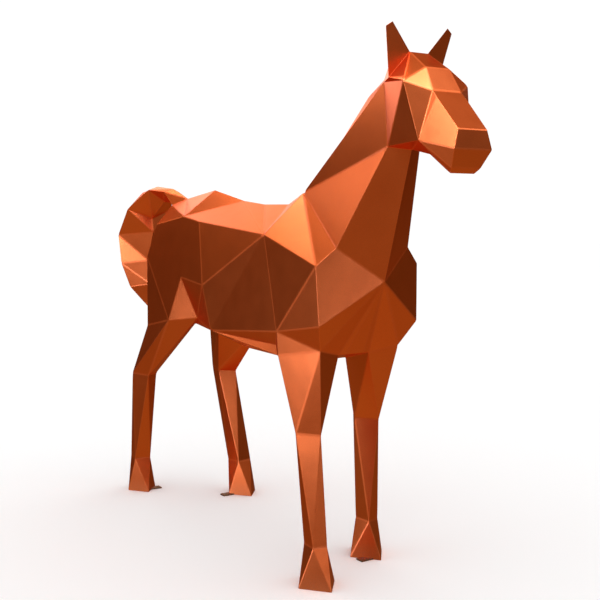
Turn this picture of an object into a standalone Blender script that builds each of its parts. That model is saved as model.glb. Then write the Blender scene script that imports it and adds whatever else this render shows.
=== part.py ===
"""Life-size faceted horse, cast hollow in resin as one piece, with steel fixing tabs let into three soles.

Metres, +X towards the head, +Y to the horse's left, +Z up, floor at z = 0.
"""

import math

import bmesh
import bpy
from mathutils import Matrix, Vector

# Driving sizes
HEIGHT = 2.10  # floor to ear tips
TAB_LENGTH = 0.090
TAB_WIDTH = 0.040
TAB_THICKNESS = 0.006
TAB_SHOWING = 0.042  # length of a tab beyond the edge of its hoof
TAB_CLEARANCE = 0.0003

# Facet corners on the midline: (forward, up) as shares of the height
MIDLINE = {
    "poll": (0.520, 0.948),
    "crest_top": (0.457, 0.921),
    "crest_up": (0.413, 0.897),
    "crest_low": (0.286, 0.789),
    "withers": (0.195, 0.731),
    "back_fore": (0.140, 0.709),
    "back": (0.044, 0.710),
    "loin": (-0.047, 0.719),
    "croup": (-0.184, 0.745),
    "dock": (-0.326, 0.728),
    "tail_under": (-0.350, 0.680),
    "rear_mid": (-0.365, 0.570),
    "rear_low": (-0.300, 0.440),
    "under_rear": (-0.080, 0.420),
    "under_mid": (0.050, 0.402),
    "under_fore": (0.290, 0.410),
    "chest": (0.463, 0.568),
    "throat": (0.536, 0.796),
}

# Facet corners that both sides have: (forward, out from the midline, up) as shares of the height
PAIRED = {
    "ear_in": (0.553, 0.019, 0.955),
    "ear_out": (0.540, 0.053, 0.912),
    "ear_back": (0.512, 0.032, 0.935),
    "forehead": (0.601, 0.025, 0.924),
    "brow_out": (0.598, 0.068, 0.900),
    "brow_in": (0.625, 0.030, 0.884),
    "nose_side": (0.637, 0.031, 0.872),
    "muzzle_top": (0.688, 0.030, 0.819),
    "muzzle_mid": (0.690, 0.039, 0.788),
    "chin": (0.673, 0.030, 0.759),
    "chin_low": (0.664, 0.025, 0.751),
    "jaw": (0.622, 0.055, 0.804),
    "jaw_low": (0.628, 0.036, 0.782),
    "crest_side": (0.484, 0.020, 0.913),
    "throat_side": (0.515, 0.035, 0.801),
    "neck_base": (0.427, 0.080, 0.628),
    "shoulder": (0.413, 0.113, 0.597),
    "elbow": (0.418, 0.109, 0.490),
    "fore_front": (0.390, 0.088, 0.443),
    "fore_rear": (0.286, 0.114, 0.425),
    "fore_inner": (0.370, 0.034, 0.430),
    "fore_back": (0.285, 0.040, 0.410),
    "keel_side": (0.372, 0.020, 0.430),
    "barrel": (0.216, 0.103, 0.650),
    "hip": (-0.087, 0.090, 0.674),
    "flank": (-0.005, 0.125, 0.541),
    "flank_low": (0.032, 0.125, 0.449),
    "girth": (0.268, 0.116, 0.489),
    "girth_low": (0.285, 0.117, 0.470),
    "girth_base": (0.264, 0.105, 0.442),
    "belly": (0.057, 0.050, 0.410),
    "croup_side": (-0.184, 0.079, 0.685),
    "tail_side": (-0.353, 0.030, 0.712),
    "buttock_top": (-0.376, 0.060, 0.666),
    "buttock_mid": (-0.401, 0.076, 0.587),
    "buttock_low": (-0.383, 0.085, 0.420),
    "thigh_top": (-0.145, 0.107, 0.550),
    "thigh_mid": (-0.179, 0.123, 0.452),
    "thigh_front": (-0.093, 0.093, 0.463),
    "groin": (-0.230, 0.030, 0.435),
}

# Each fan is a hub corner and the corners round it, one triangular facet between each two
FANS = (
    "brow_out ear_out ear_in forehead brow_in jaw throat_side crest_side ear_out",
    "jaw brow_in nose_side muzzle_top muzzle_mid chin chin_low jaw_low throat throat_side",
    "ear_back ear_out crest_side crest_top poll ear_in",
    "crest_side crest_top crest_up crest_low withers throat_side",
    "neck_base throat_side withers shoulder chest throat throat_side",
    "chest shoulder elbow fore_front fore_inner keel_side",
    "barrel shoulder withers back_fore back loin hip flank flank_low girth girth_low shoulder",
    "girth_low shoulder elbow fore_front fore_rear girth_base",
    "flank_low girth girth_low girth_base fore_rear belly under_mid under_rear groin thigh_front flank",
    "belly fore_rear fore_back under_fore under_mid",
    "fore_back fore_inner keel_side under_fore",
    "thigh_top croup_side hip flank thigh_front thigh_mid buttock_mid croup_side",
    "buttock_mid thigh_mid buttock_low rear_low rear_mid tail_under buttock_top croup_side",
    "croup_side buttock_top tail_side dock croup loin hip",
    "tail_side buttock_top tail_under",
    "groin buttock_low rear_low under_rear",
)

# Chains whose facets cross the midline from one side to the other
CROSSINGS = (
    "poll ear_in forehead brow_in nose_side muzzle_top muzzle_mid chin chin_low jaw_low throat",
    "chest keel_side under_fore",
)

# Open rims of the trunk that the ears and legs grow from
EAR_RIM = "ear_out ear_in ear_back"
FORE_RIM = "fore_rear fore_front fore_inner fore_back"
HIND_RIM = "buttock_low thigh_mid thigh_front groin"

# Ear tip corners, in the order of the ear rim
EAR_TIP = ((0.554, 0.070, 0.992), (0.557, 0.058, 1.000), (0.548, 0.062, 0.990))

# Leg rings from the top down, each in shares of the height: up, forward, out from the midline,
# half length, half width, then the turn of the ring in degrees and its share of the leg's pose
FORE_RINGS = (
    (0.285, 0.300, 0.090, 0.0435, 0.0275, 0, 0.73),
    (0.075, 0.310, 0.090, 0.028, 0.019, 55, 0.95),
    (0.000, 0.310, 0.090, 0.051, 0.041, 0, 1.00),
)
HIND_RINGS = (
    (0.303, -0.363, 0.098, 0.048, 0.026, 20, 0.27),
    (0.082, -0.363, 0.098, 0.030, 0.027, 55, 0.94),
    (0.000, -0.355, 0.098, 0.046, 0.037, 0, 1.00),
)

# Pose of each leg in mid-walk: rim, rings, then the sole's stride forward and its shift outwards
LEGS = {
    "fore_right": (FORE_RIM, FORE_RINGS, 0.046, -0.017),
    "fore_left": (FORE_RIM, FORE_RINGS, -0.045, 0.017),
    "hind_right": (HIND_RIM, HIND_RINGS, -0.085, -0.017),
    "hind_left": (HIND_RIM, HIND_RINGS, 0.085, 0.017),
}
# Metres from the middle of a hoof forward to its fixing tab
TAB_FORWARD = {"fore_left": 0.060, "hind_right": 0.040, "hind_left": 0.000}

# Tail rings from the dock: outer ridge (forward, up), side ridge (forward, out, up), inner ridge (forward, up)
TAIL_RINGS = (
    ((-0.411, 0.754), (-0.420, 0.021, 0.746), (-0.390, 0.716)),
    ((-0.505, 0.762), (-0.484, 0.035, 0.752), (-0.463, 0.722)),
    ((-0.602, 0.748), (-0.555, 0.062, 0.704), (-0.540, 0.679)),
    ((-0.675, 0.645), (-0.620, 0.062, 0.637), (-0.535, 0.645)),
    ((-0.682, 0.555), (-0.619, 0.055, 0.562), (-0.570, 0.570)),
    ((-0.635, 0.490), (-0.609, 0.035, 0.499), (-0.556, 0.508)),
    ((-0.560, 0.450), (-0.545, 0.020, 0.458), (-0.520, 0.468)),
)
TAIL_TIP = (-0.490, 0.420)


def clear_scene():
    for obj in list(bpy.data.objects):
        bpy.data.objects.remove(obj, do_unlink=True)


def material(name, colour, metallic, roughness):
    made = bpy.data.materials.new(name)
    made.use_nodes = True
    shader = made.node_tree.nodes["Principled BSDF"]
    shader.inputs["Base Color"].default_value = (*colour, 1.0)
    shader.inputs["Metallic"].default_value = metallic
    shader.inputs["Roughness"].default_value = roughness
    return made


def collection(name, hidden=False):
    made = bpy.data.collections.new(name)
    made.hide_render = hidden
    bpy.context.scene.collection.children.link(made)
    return made


def add_object(name, bm, into, paint=None):
    mesh = bpy.data.meshes.new(name)
    bmesh.ops.recalc_face_normals(bm, faces=bm.faces[:])
    bm.to_mesh(mesh)
    bm.free()
    made = bpy.data.objects.new(name, mesh)
    into.objects.link(made)
    if paint:
        mesh.materials.append(paint)
    else:
        made.hide_render = True
        made.display_type = "WIRE"
    return made


def trunk_corners(bm):
    """Every corner of the trunk by name and side, those on the midline shared by both sides."""
    found = {}
    for name, (forward, up) in MIDLINE.items():
        vert = bm.verts.new(Vector((forward, 0, up)) * HEIGHT)
        found[name, -1] = found[name, 1] = vert
    for name, (forward, out, up) in PAIRED.items():
        for side in (-1, 1):
            found[name, side] = bm.verts.new(Vector((forward, side * out, up)) * HEIGHT)
    return found


def add_trunk(bm, corners):
    for side in (-1, 1):
        for fan in FANS:
            hub, *rim = (corners[name, side] for name in fan.split())
            for first, second in zip(rim, rim[1:]):
                bm.faces.new((hub, first, second))
    for chain in CROSSINGS:
        names = chain.split()
        for upper, lower in zip(names, names[1:]):
            quad = [corners[upper, -1], corners[upper, 1], corners[lower, 1], corners[lower, -1]]
            bm.faces.new(list(dict.fromkeys(quad)))


def grow(bm, rim, rings, leans, closing_corner=None):
    """Carries an open rim on through rings of as many corners, two facets to each side, and closes the end.

    Each ring has one lean to a side, which says the way that the side's fold runs.
    """
    last = rim
    for ring, ring_leans in zip(rings, leans):
        verts = [bm.verts.new(Vector(place) * HEIGHT) for place in ring]
        for i, leaning in enumerate(ring_leans):
            k = (i + 1) % len(verts)
            if leaning:
                bm.faces.new((last[i], last[k], verts[i]))
                bm.faces.new((last[k], verts[k], verts[i]))
            else:
                bm.faces.new((last[i], last[k], verts[k]))
                bm.faces.new((last[i], verts[k], verts[i]))
        last = verts
    if closing_corner is None:
        bm.faces.new(last)
        return
    tip = bm.verts.new(Vector(closing_corner) * HEIGHT)
    for i in range(len(last)):
        bm.faces.new((last[i], last[(i + 1) % len(last)], tip))


def side_of(leg):
    return 1 if leg.endswith("left") else -1


def ring_centre(leg, ring):
    _, _, stride, shift = LEGS[leg]
    up, forward, out, *_, pose_share = ring
    return Vector((forward + stride * pose_share, side_of(leg) * (out + shift * pose_share), up))


def leg_ring(leg, ring):
    """Four corners of one ring, in the order of the rim: outer, front, inner, rear."""
    side = side_of(leg)
    *_, half_length, half_width, turn, _ = ring
    centre = ring_centre(leg, ring)
    places = []
    for quarter in (90, 0, -90, 180):
        angle = math.radians(turn + quarter)
        places.append(centre + Vector((half_length * math.cos(angle), side * half_width * math.sin(angle), 0)))
    return places


def tail_ring(ring):
    (outer_x, outer_z), (side_x, side_y, side_z), (inner_x, inner_z) = ring
    return ((outer_x, 0, outer_z), (side_x, -side_y, side_z), (inner_x, 0, inner_z), (side_x, side_y, side_z))


def add_limbs(bm, corners):
    for side in (-1, 1):
        tip = [(forward, side * out, up) for forward, out, up in EAR_TIP]
        grow(bm, [corners[name, side] for name in EAR_RIM.split()], [tip], [(False,) * 3])
    for leg, (rim, rings, _, _) in LEGS.items():
        places = [leg_ring(leg, ring) for ring in rings]
        leans = [((i % 2 == 0),) * 4 for i in range(len(rings))]
        grow(bm, [corners[name, side_of(leg)] for name in rim.split()], places, leans)
    tail_rim = [corners["dock", 1], corners["tail_side", -1], corners["tail_under", 1], corners["tail_side", 1]]
    tail_leans = [(False, False, True, True)] * len(TAIL_RINGS)
    grow(bm, tail_rim, [tail_ring(ring) for ring in TAIL_RINGS], tail_leans, (TAIL_TIP[0], 0, TAIL_TIP[1]))


def centring_shift(bm):
    """Move that puts the origin on the floor at the middle of the casting's bounding box."""
    along = [vert.co.x for vert in bm.verts]
    across = [vert.co.y for vert in bm.verts]
    return -Vector((min(along) + max(along), min(across) + max(across), 0)) / 2


def tab_box(leg, shift, clearance):
    """A tab flat on the floor, pointing from under the hoof to the midline, or with clearance its slot."""
    side = side_of(leg)
    sole = LEGS[leg][1][-1]
    centre = ring_centre(leg, sole) * HEIGHT
    half_length, half_width = sole[3] * HEIGHT, sole[4] * HEIGHT
    forward = TAB_FORWARD[leg]
    hoof_edge = abs(centre.y) - half_width * (1 - forward / half_length)
    outer = hoof_edge + TAB_LENGTH - TAB_SHOWING + clearance
    inner = hoof_edge - TAB_SHOWING - clearance
    width = TAB_WIDTH + 2 * clearance
    top = TAB_THICKNESS + clearance
    bottom = -TAB_THICKNESS if clearance else 0
    middle = Vector((centre.x + forward, side * (outer + inner) / 2, (top + bottom) / 2)) + shift
    bm = bmesh.new()
    bmesh.ops.create_cube(bm, size=1, matrix=Matrix.LocRotScale(middle, None, (width, outer - inner, top - bottom)))
    return bm


def main():
    clear_scene()
    pieces = collection("faceted_horse")
    cutters = collection("cutters", hidden=True)
    paint = material("copper_paint_on_resin", (0.60, 0.20, 0.07), 0.75, 0.38)
    steel = material("fixing_steel", (0.35, 0.34, 0.33), 1.0, 0.45)

    bm = bmesh.new()
    corners = trunk_corners(bm)
    add_trunk(bm, corners)
    add_limbs(bm, corners)
    shift = centring_shift(bm)
    bmesh.ops.translate(bm, vec=shift, verts=bm.verts)
    horse = add_object("horse", bm, pieces, paint)

    for leg in TAB_FORWARD:
        add_object("fixing_tab_" + leg, tab_box(leg, shift, 0), pieces, steel)
        slot = add_object("tab_slot_" + leg, tab_box(leg, shift, TAB_CLEARANCE), cutters)
        cut = horse.modifiers.new("slot_" + leg, "BOOLEAN")
        cut.operation = "DIFFERENCE"
        cut.solver = "EXACT"
        cut.object = slot


main()
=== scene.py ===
"""A life-size faceted horse, cast in resin and painted satin copper, on the pale floor of a studio."""

import math

import bmesh
import bpy
from mathutils import Matrix, Vector


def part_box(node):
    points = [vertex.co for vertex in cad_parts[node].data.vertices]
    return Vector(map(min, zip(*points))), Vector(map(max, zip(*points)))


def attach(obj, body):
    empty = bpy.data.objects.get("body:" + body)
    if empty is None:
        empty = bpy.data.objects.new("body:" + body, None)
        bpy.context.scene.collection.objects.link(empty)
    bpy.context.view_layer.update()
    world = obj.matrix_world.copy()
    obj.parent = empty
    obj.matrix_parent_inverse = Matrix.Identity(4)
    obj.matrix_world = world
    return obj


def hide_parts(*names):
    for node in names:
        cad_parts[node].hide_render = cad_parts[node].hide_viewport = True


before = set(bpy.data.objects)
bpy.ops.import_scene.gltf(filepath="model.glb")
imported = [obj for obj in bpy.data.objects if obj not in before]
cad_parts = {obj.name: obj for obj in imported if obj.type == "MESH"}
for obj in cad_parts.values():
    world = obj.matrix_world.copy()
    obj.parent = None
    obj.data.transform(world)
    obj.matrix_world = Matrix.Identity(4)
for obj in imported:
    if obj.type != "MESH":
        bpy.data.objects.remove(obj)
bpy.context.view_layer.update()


# Camera
# It stands by the horse's right front, at the eye height of a person, and looks slightly down.
# The lens is a 60 mm one on a frame 36 mm wide, held level.

CAMERA_PLACE = Vector((3.9315, -2.2683, 1.43))
CAMERA_HEADING = math.radians(147.8)
CAMERA_DIP = math.radians(4.68)
LENS_LENGTH = 60
FRAME_WIDTH = 36

scene = bpy.context.scene


def add_object(name, data):
    """Puts a new object with its data in the scene."""
    placed = bpy.data.objects.new(name, data)
    scene.collection.objects.link(placed)
    return placed


def direction(heading, rise):
    """Unit vector that points at a heading, turned from +X towards +Y, and a rise above the horizon."""
    level = Vector((math.cos(heading), math.sin(heading), 0)) * math.cos(rise)
    return level + Vector((0, 0, math.sin(rise)))


def facing(way):
    """Turn that points a camera or a lamp a given way, and keeps it level."""
    return way.to_track_quat("-Z", "Y").to_euler()


lens = bpy.data.cameras.new("studio_camera")
lens.lens = LENS_LENGTH
lens.sensor_width = FRAME_WIDTH
camera = add_object("studio_camera", lens)
camera.location = CAMERA_PLACE
camera.rotation_euler = facing(direction(CAMERA_HEADING, -CAMERA_DIP))
scene.camera = camera
scene.view_settings.view_transform = "Standard"


# Floor and background
# A wide matt floor, white, runs on into a white background with no corner between them.
# The paint mirrors neither: round the horse the room is dim and warm, and a little brighter above and below.
# The background isn't sampled as a lamp, since what is mirrored of it isn't what the camera sees.

FLOOR_RADIUS = 60
FLOOR_SIDES = 96
WHITE = 0.99
BACKDROP_LEVEL = 1.04
ROOM_TINT = (1, 0.58, 0.16, 1)
ROOM_LEVEL = 0.07
ROOM_UP_AND_DOWN = 0.41


def finish_mesh(name, bm):
    """Gives the mesh that a bmesh was made for, and frees the bmesh."""
    mesh = bpy.data.meshes.new(name)
    bm.to_mesh(mesh)
    bm.free()
    return mesh


def set_inputs(tree, node, inputs):
    """Gives each named input of a node a value, or a link from another node's output."""
    for name, value in inputs.items():
        if isinstance(value, bpy.types.NodeSocket):
            tree.links.new(value, node.inputs[name])
        else:
            node.inputs[name].default_value = value


def add_node(tree, kind, inputs=None, **settings):
    """Adds a node with its settings and its inputs."""
    node = tree.nodes.new(kind)
    for setting, value in settings.items():
        setattr(node, setting, value)
    set_inputs(tree, node, inputs or {})
    return node


def add_material(name):
    """New material, with its node tree and the shader in it."""
    material = bpy.data.materials.new(name)
    material.use_nodes = True
    return material, material.node_tree, material.node_tree.nodes["Principled BSDF"]


floor_bm = bmesh.new()
bmesh.ops.create_circle(floor_bm, cap_ends=True, segments=FLOOR_SIDES, radius=FLOOR_RADIUS)
studio_floor = add_object("studio_floor", finish_mesh("studio_floor", floor_bm))
studio_floor.visible_glossy = False
studio_floor.visible_shadow = False
floor_paint, floor_tree, floor_shader = add_material("matt_floor_paint")
set_inputs(floor_tree, floor_shader, {
    "Base Color": (WHITE, WHITE, WHITE, 1), "Roughness": 1, "Specular IOR Level": 0})
studio_floor.data.materials.append(floor_paint)

studio = bpy.data.worlds.new("studio")
studio.use_nodes = True
studio.cycles.sampling_method = "NONE"
scene.world = studio
sky = studio.node_tree
backdrop = sky.nodes["Background"]
set_inputs(sky, backdrop, {"Color": (1, 1, 1, 1), "Strength": BACKDROP_LEVEL})
sky_place = add_node(sky, "ShaderNodeTexCoord").outputs["Generated"]
sky_height = add_node(sky, "ShaderNodeSeparateXYZ", {"Vector": sky_place}).outputs["Z"]
off_horizon = add_node(sky, "ShaderNodeMath", {0: sky_height}, operation="ABSOLUTE").outputs["Value"]
brightness = add_node(sky, "ShaderNodeMapRange", {
    "Value": off_horizon, "To Min": ROOM_LEVEL, "To Max": ROOM_UP_AND_DOWN}).outputs["Result"]
room = add_node(sky, "ShaderNodeBackground", {"Color": ROOM_TINT, "Strength": brightness})
mirrored = add_node(sky, "ShaderNodeLightPath").outputs["Is Glossy Ray"]
seen = add_node(sky, "ShaderNodeMixShader", {
    "Fac": mirrored, 1: backdrop.outputs["Background"], 2: room.outputs["Background"]})
set_inputs(sky, sky.nodes["World Output"], {"Surface": seen.outputs["Shader"]})


# Soft boxes
# Seven plain lamps behind white cloth, placed round the horse so that each side of it has one to mirror.
# Each has its heading and rise from the middle of the horse in degrees, its distance, width and height in
# metres, and its radiance. They show only where they are mirrored, so the floor stays evenly white.

HORSE_MIDDLE = Vector((0.2, 0, 1.1))
SOFT_BOXES = {
    "key_box": (10, 46, 8, 4, 3, 11.5),
    "top_box": (175, 50, 6, 1, 1.5, 6.5),
    "low_strip": (-90, -3, 5, 3.5, 0.7, 9),
    "side_strip": (-60, 52, 2.7, 0.5, 2.5, 10.5),
    "back_box": (140, 27, 3, 4, 1, 2.2),
    "front_box": (-7, -10, 8, 0.7, 3.2, 3.3),
    "rear_box": (-160, 25, 8, 2, 1.5, 2.5),
}

for name, (heading, rise, distance, width, tall, radiance) in SOFT_BOXES.items():
    lamp = bpy.data.lights.new(name, "AREA")
    lamp.shape = "RECTANGLE"
    lamp.size = width
    lamp.size_y = tall
    lamp.energy = radiance * math.pi * width * tall
    soft_box = add_object(name, lamp)
    outwards = direction(math.radians(heading), math.radians(rise))
    soft_box.location = HORSE_MIDDLE + outwards * distance
    soft_box.rotation_euler = facing(-outwards)
    soft_box.visible_diffuse = False


# Horse
# One hollow casting in glass-filled resin, its wall about 5 mm thick, its seams filled and sanded flush.
# Its flat facets meet in rounded folds: tight where they meet sharply, and wider where they are nearly level.
# The soles are ground flat, with a slot in three of them for the fixing tabs.

TABS = ("fixing_tab_fore_left", "fixing_tab_hind_left", "fixing_tab_hind_right")
TAB_CLEARANCE = 0.0003
SLOT_MARGIN = 0.0005
SLOT_TOP = max(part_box(name)[1].z for name in TABS) + SLOT_MARGIN
SAME_POINT = 0.00001
SAME_CORNER = 0.005
RIM_FLARE = 1.019
FACET_ANGLE = math.radians(0.5)
LEAST_ANGLE = math.radians(4)
SHARP_ANGLE = math.radians(60)
TIGHT_FOLD = 0.0015
WIDE_FOLD = 0.008
RIM_FOLD = 0.002
FOLD_SHARE = 0.35
FOLD_STEPS = 4
LEAST_FACET = 0.004
FULL_WEIGHT = 100


def fill_slots(bm):
    """Cuts the hooves off just above the slots, and brings each cut down to the floor as a whole sole."""
    everything = bm.verts[:] + bm.edges[:] + bm.faces[:]
    downwards = (0, 0, -1)
    bmesh.ops.bisect_plane(
        bm, geom=everything, plane_co=(0, 0, SLOT_TOP), plane_no=downwards, clear_outer=True)
    cut = [vert for vert in bm.verts if vert.is_boundary]
    bmesh.ops.remove_doubles(bm, verts=cut, dist=SAME_CORNER)
    rims = [edge for edge in bm.edges if edge.is_boundary]
    for sole in bmesh.ops.holes_fill(bm, edges=rims)["faces"]:
        middle = sole.calc_center_median()
        for vert in sole.verts:
            vert.co = middle + (vert.co - middle) * RIM_FLARE
            vert.co.z = 0


def facet_inradius(face):
    """Radius of the round that fits in a facet, or a little less where it has more than three sides."""
    return 2 * face.calc_area() / face.calc_perimeter()


def fold_width(edge):
    """How far the rounding of a fold reaches into the facets beside it."""
    angle = edge.calc_face_angle(0)
    if angle < LEAST_ANGLE:
        return 0
    if max(vert.co.z for vert in edge.verts) < SLOT_TOP:
        return RIM_FOLD
    sharpness = min(1, angle / SHARP_ANGLE)
    width = WIDE_FOLD + (TIGHT_FOLD - WIDE_FOLD) * sharpness
    return min(width, *(FOLD_SHARE * facet_inradius(face) for face in edge.link_faces))


casting_bm = bmesh.new()
casting_bm.from_mesh(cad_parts["horse"].data)
bmesh.ops.remove_doubles(casting_bm, verts=casting_bm.verts, dist=SAME_POINT)
bmesh.ops.dissolve_limit(casting_bm, angle_limit=FACET_ANGLE, verts=casting_bm.verts, edges=casting_bm.edges)
fill_slots(casting_bm)
bmesh.ops.remove_doubles(casting_bm, verts=casting_bm.verts, dist=SAME_POINT)
bmesh.ops.recalc_face_normals(casting_bm, faces=casting_bm.faces)
fold_weight = casting_bm.edges.layers.float.new("bevel_weight_edge")
for edge in casting_bm.edges:
    edge[fold_weight] = fold_width(edge) / WIDE_FOLD
for face in casting_bm.faces:
    face.smooth = True
casting = add_object("faceted_horse", finish_mesh("faceted_horse", casting_bm))
rounding = casting.modifiers.new("rounded_folds", "BEVEL")
rounding.limit_method = "WEIGHT"
rounding.width = WIDE_FOLD
rounding.segments = FOLD_STEPS
rounding.use_clamp_overlap = False

cutters = []
for name in TABS:
    low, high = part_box(name)
    size = high - low + Vector((2, 2, 2)) * TAB_CLEARANCE
    cutter_bm = bmesh.new()
    bmesh.ops.create_cube(cutter_bm, size=1, matrix=Matrix.LocRotScale((low + high) / 2, None, size))
    cutter = add_object(name + "_slot", finish_mesh(name + "_slot", cutter_bm))
    slot = casting.modifiers.new(name + "_slot", "BOOLEAN")
    slot.operation = "DIFFERENCE"
    slot.solver = "EXACT"
    slot.object = cutter
    cutters.append(cutter)
formed = bpy.data.meshes.new_from_object(casting.evaluated_get(bpy.context.evaluated_depsgraph_get()))
casting.modifiers.clear()
casting.data = formed
for cutter in cutters:
    bpy.data.objects.remove(cutter)

formed_bm = bmesh.new()
formed_bm.from_mesh(formed)
on_fold = formed_bm.verts.layers.float.new("on_fold")
for vert in formed_bm.verts:
    vert[on_fold] = all(facet_inradius(face) < LEAST_FACET for face in vert.link_faces)
formed_bm.to_mesh(formed)
formed_bm.free()
shading = casting.modifiers.new("flat_facets", "WEIGHTED_NORMAL")
shading.weight = FULL_WEIGHT
shading.keep_sharp = True

CLOUD_LOW = 0.32
CLOUD_HIGH = 0.68
CLOUD_DETAIL = 3
DUST_WAVES = 90
DUST_DETAIL = 5


def add_math(tree, operation, first, second):
    """Sum or product of two values, or whatever else the operation makes of them."""
    return add_node(tree, "ShaderNodeMath", {0: first, 1: second}, operation=operation).outputs["Value"]


def add_mix(tree, share, first, second):
    """Colour that goes from the first to the second as the share goes from 0 to 1."""
    return add_node(tree, "ShaderNodeMix", {0: share, 6: first, 7: second}, data_type="RGBA").outputs[2]


def add_bump(tree, depth, height, inputs=None):
    """Normal of a surface that rises by the depth in metres as the height goes from 0 to 1."""
    relief = {"Distance": depth, "Height": height, **(inputs or {})}
    return add_node(tree, "ShaderNodeBump", relief).outputs["Normal"]


def add_effect(name, inputs, output):
    """Opens a shader node group with one output, and gives its tree, the given inputs and the output node."""
    effect = bpy.data.node_groups.new(name, "ShaderNodeTree")
    for socket, kind in inputs.items():
        effect.interface.new_socket(socket, in_out="INPUT", socket_type="NodeSocket" + kind)
    effect.interface.new_socket(output, in_out="OUTPUT", socket_type="NodeSocketFloat")
    return effect, add_node(effect, "NodeGroupInput").outputs, add_node(effect, "NodeGroupOutput")


mottle, given, result = add_effect(
    "mottle", {"Vector": "Vector", "Scale": "Float", "Low": "Float", "High": "Float"}, "Value")
cloud = add_node(mottle, "ShaderNodeTexNoise", {
    "Vector": given["Vector"], "Scale": given["Scale"], "Detail": CLOUD_DETAIL}).outputs["Fac"]
spread = add_node(mottle, "ShaderNodeMapRange", {
    "Value": cloud, "From Min": CLOUD_LOW, "From Max": CLOUD_HIGH,
    "To Min": given["Low"], "To Max": given["High"]})
set_inputs(mottle, result, {"Value": spread.outputs["Result"]})

floor_dust, given, result = add_effect(
    "floor_dust", {"Vector": "Vector", "Height": "Float", "Amount": "Float"}, "Mask")
level = add_node(floor_dust, "ShaderNodeSeparateXYZ", {"Vector": given["Vector"]}).outputs["Z"]
fading = add_node(floor_dust, "ShaderNodeMapRange", {
    "Value": level, "From Max": given["Height"], "To Min": given["Amount"], "To Max": 0}).outputs["Result"]
grains = add_node(floor_dust, "ShaderNodeTexNoise", {
    "Vector": given["Vector"], "Scale": DUST_WAVES, "Detail": DUST_DETAIL}).outputs["Fac"]
set_inputs(floor_dust, result, {"Mask": add_math(floor_dust, "MULTIPLY", fading, grains)})


def add_mottle(tree, vector, scale, low, high):
    """Cloudy pattern with so many waves to the metre, which runs from the low value to the high one."""
    inputs = {"Vector": vector, "Scale": scale, "Low": low, "High": high}
    return add_node(tree, "ShaderNodeGroup", inputs, node_tree=mottle).outputs["Value"]


def add_dust(tree, vector, height, amount):
    """Pale brown dust off the floor, most of it at the floor and none above the height."""
    inputs = {"Vector": vector, "Height": height, "Amount": amount}
    return add_node(tree, "ShaderNodeGroup", inputs, node_tree=floor_dust).outputs["Mask"]


FULL_COPPER = (0.98, 0.228, 0.072, 1)
DEEP_COPPER = (0.94, 0.202, 0.059, 1)
# Paler copper for the folds: partly paint worn thin there, partly a painted highlight where the rounded folds
# catch the lamps.
THIN_COPPER_AND_FOLD_HIGHLIGHT = (1, 0.31, 0.13, 1)
DUST = (0.42, 0.3, 0.2, 1)
GRAZING_COPPER = (1, 0.4, 0.2, 1)
DRIFT_WAVES = 2.5
FLAKES = 900
DIM_FLAKE = 0.9
BRIGHT_FLAKE = 1.1
WEAR_AND_HIGHLIGHT_WAVES = 35
MOST_WEAR_AND_HIGHLIGHT = 0.25
POLISH_WAVES = 14
SMOOTH_SATIN = 0.325
ROUGH_SATIN = 0.35
HOOF_DUST_HEIGHT = 0.07
HOOF_DUST = 0.35
DUST_DULLNESS = 0.4
FOLD_DULLNESS = 0.15
SANDING_WAVES = 4
SANDING_DEPTH = 0.001
PEEL_WAVES = 180
PEEL_DEPTH = 0.00004
LACQUER_WEIGHT = 0.4
LACQUER_ROUGHNESS = 0.3

copper, coat, copper_shader = add_material("copper_paint")
place = add_node(coat, "ShaderNodeTexCoord").outputs["Object"]
fold = add_node(coat, "ShaderNodeAttribute", attribute_name="on_fold").outputs["Fac"]
drift = add_mix(coat, add_mottle(coat, place, DRIFT_WAVES, 0, 1), FULL_COPPER, DEEP_COPPER)
# The folds go paler in patches: partly wear, partly a painted highlight along the folds.
worn_and_highlit = add_math(coat, "MULTIPLY", fold, add_mottle(coat, place, WEAR_AND_HIGHLIGHT_WAVES, 0, MOST_WEAR_AND_HIGHLIGHT))
hoof_dust = add_dust(coat, place, HOOF_DUST_HEIGHT, HOOF_DUST)
dusty = add_mix(coat, hoof_dust, add_mix(coat, worn_and_highlit, drift, THIN_COPPER_AND_FOLD_HIGHLIGHT), DUST)
flakes = add_node(coat, "ShaderNodeTexVoronoi", {"Vector": place, "Scale": FLAKES}).outputs["Color"]
glint = add_node(coat, "ShaderNodeMapRange", {
    "Value": flakes, "To Min": DIM_FLAKE, "To Max": BRIGHT_FLAKE}).outputs["Result"]
paint = add_node(coat, "ShaderNodeHueSaturation", {"Value": glint, "Color": dusty}).outputs["Color"]
dusty_dullness = add_math(coat, "MULTIPLY", hoof_dust, DUST_DULLNESS)
worn_dullness = add_math(coat, "MULTIPLY", fold, FOLD_DULLNESS)
satin = add_mottle(coat, place, POLISH_WAVES, SMOOTH_SATIN, ROUGH_SATIN)
dullness = add_math(coat, "ADD", satin, add_math(coat, "ADD", dusty_dullness, worn_dullness))
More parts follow.
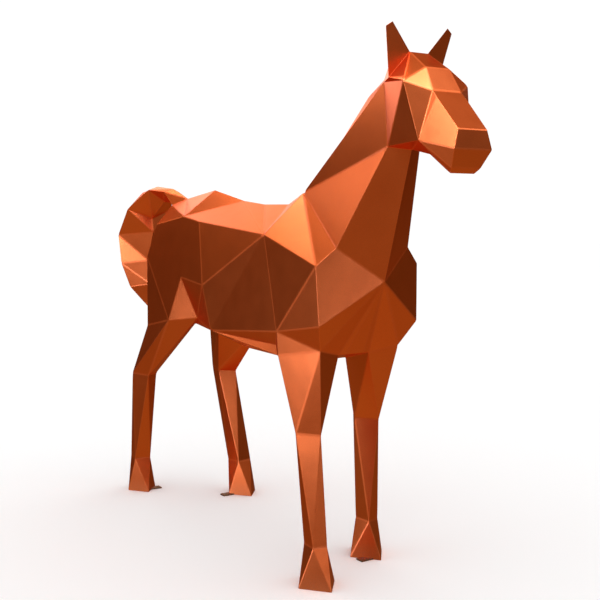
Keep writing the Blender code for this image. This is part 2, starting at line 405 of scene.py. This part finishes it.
sanding = add_bump(coat, SANDING_DEPTH, add_mottle(coat, place, SANDING_WAVES, 0, 1))
peel = add_bump(coat, PEEL_DEPTH, add_mottle(coat, place, PEEL_WAVES, 0, 1), {"Normal": sanding})
set_inputs(coat, copper_shader, {
    "Base Color": paint, "Roughness": dullness, "Normal": peel,
    "Metallic": 1, "Specular Tint": GRAZING_COPPER,
    "Coat Weight": LACQUER_WEIGHT, "Coat Roughness": LACQUER_ROUGHNESS})
formed.materials.append(copper)
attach(casting, "root")
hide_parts("horse")


# Fixing tabs
# Short flat bars of mill-finish steel, let into three of the soles, by which the horse can be held down.
# They keep the form that they have in the solid model. The copper paint was sprayed with them in place.

STEEL = (0.3, 0.27, 0.25, 1)
TARNISH = (0.1, 0.06, 0.04, 1)
TARNISH_WAVES = 45
SMOOTH_STEEL = 0.42
ROUGH_STEEL = 0.6
SPECK_WAVES = 260
BETWEEN_SPECKS = -1.6
TAB_DUST_HEIGHT = 0.02
TAB_DUST = 0.5
ROLLING_WAVES = (300, 10, 300)
ROLLING_DEPTH = 0.00002

steel, bar, steel_shader = add_material("mill_steel")
place = add_node(bar, "ShaderNodeTexCoord").outputs["Object"]
tarnished = add_mix(bar, add_mottle(bar, place, TARNISH_WAVES, 0, 1), STEEL, TARNISH)
speckled = add_mix(bar, add_mottle(bar, place, SPECK_WAVES, BETWEEN_SPECKS, 1), tarnished, DEEP_COPPER)
dusty = add_mix(bar, add_dust(bar, place, TAB_DUST_HEIGHT, TAB_DUST), speckled, DUST)
along = add_node(bar, "ShaderNodeMapping", {"Vector": place, "Scale": ROLLING_WAVES}).outputs["Vector"]
rolled = add_bump(bar, ROLLING_DEPTH, add_mottle(bar, along, 1, 0, 1))
uneven = add_mottle(bar, place, TARNISH_WAVES, SMOOTH_STEEL, ROUGH_STEEL)
set_inputs(bar, steel_shader, {"Base Color": dusty, "Roughness": uneven, "Normal": rolled, "Metallic": 1})
for name in TABS:
    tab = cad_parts[name]
    tab.data.materials.clear()
    tab.data.materials.append(steel)
